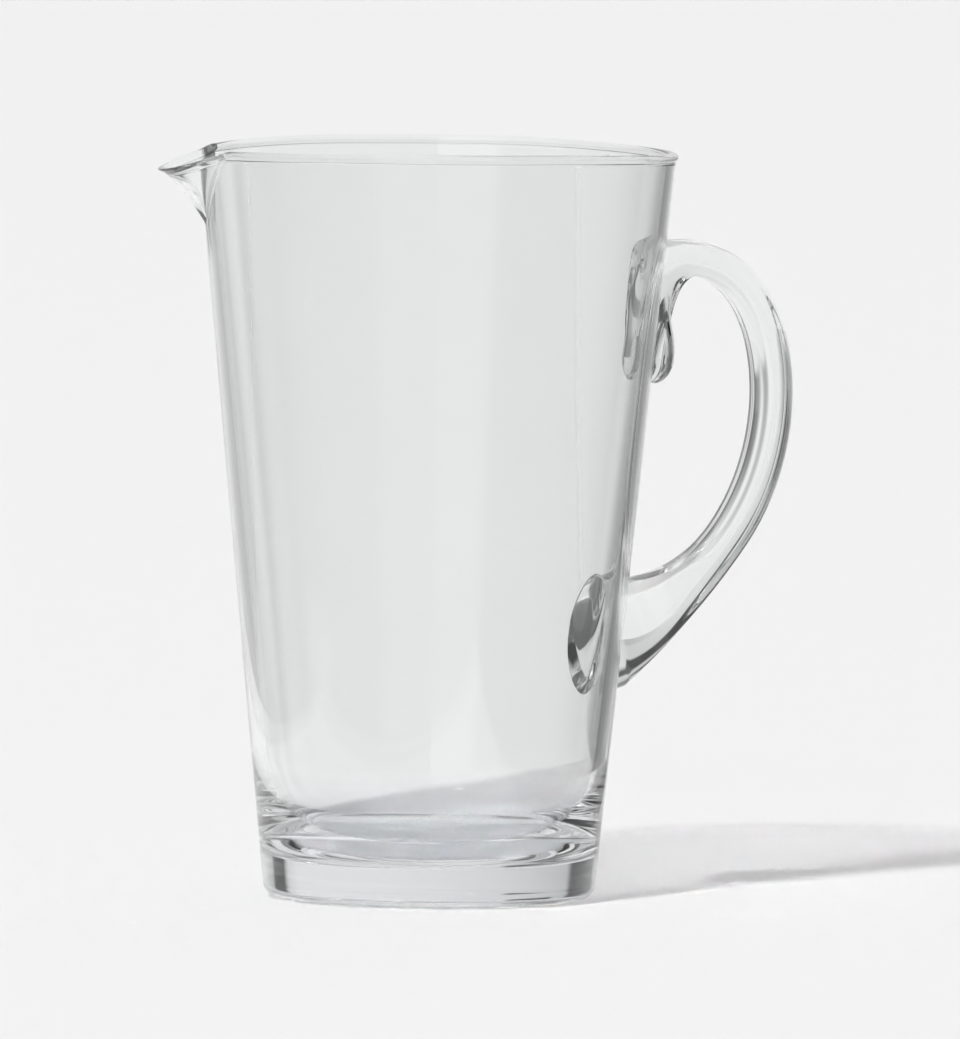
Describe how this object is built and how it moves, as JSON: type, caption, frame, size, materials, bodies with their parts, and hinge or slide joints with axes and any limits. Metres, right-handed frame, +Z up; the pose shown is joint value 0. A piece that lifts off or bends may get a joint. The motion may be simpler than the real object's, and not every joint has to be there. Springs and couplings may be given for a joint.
{
  "type": "glass pitcher",
  "caption": "Clear glass pitcher with a straight tapering wall, heavy base, pulled pouring lip and an applied strap handle whose upper end is folded back.",
  "frame": {"origin": "middle of the base, on the table", "axes": "+Z up along the vessel's axis, -X towards the spout, the handle 16 degrees round from +X towards +Y"},
  "size_m": [0.2074, 0.1538, 0.24],
  "materials": {
    "vessel": "clear, fire-polished",
    "handle": "clear, fire-polished"
  },
  "bodies": {
    "root": {"vessel": "vessel", "handle": "handle"}
  },
  "joints": []
}
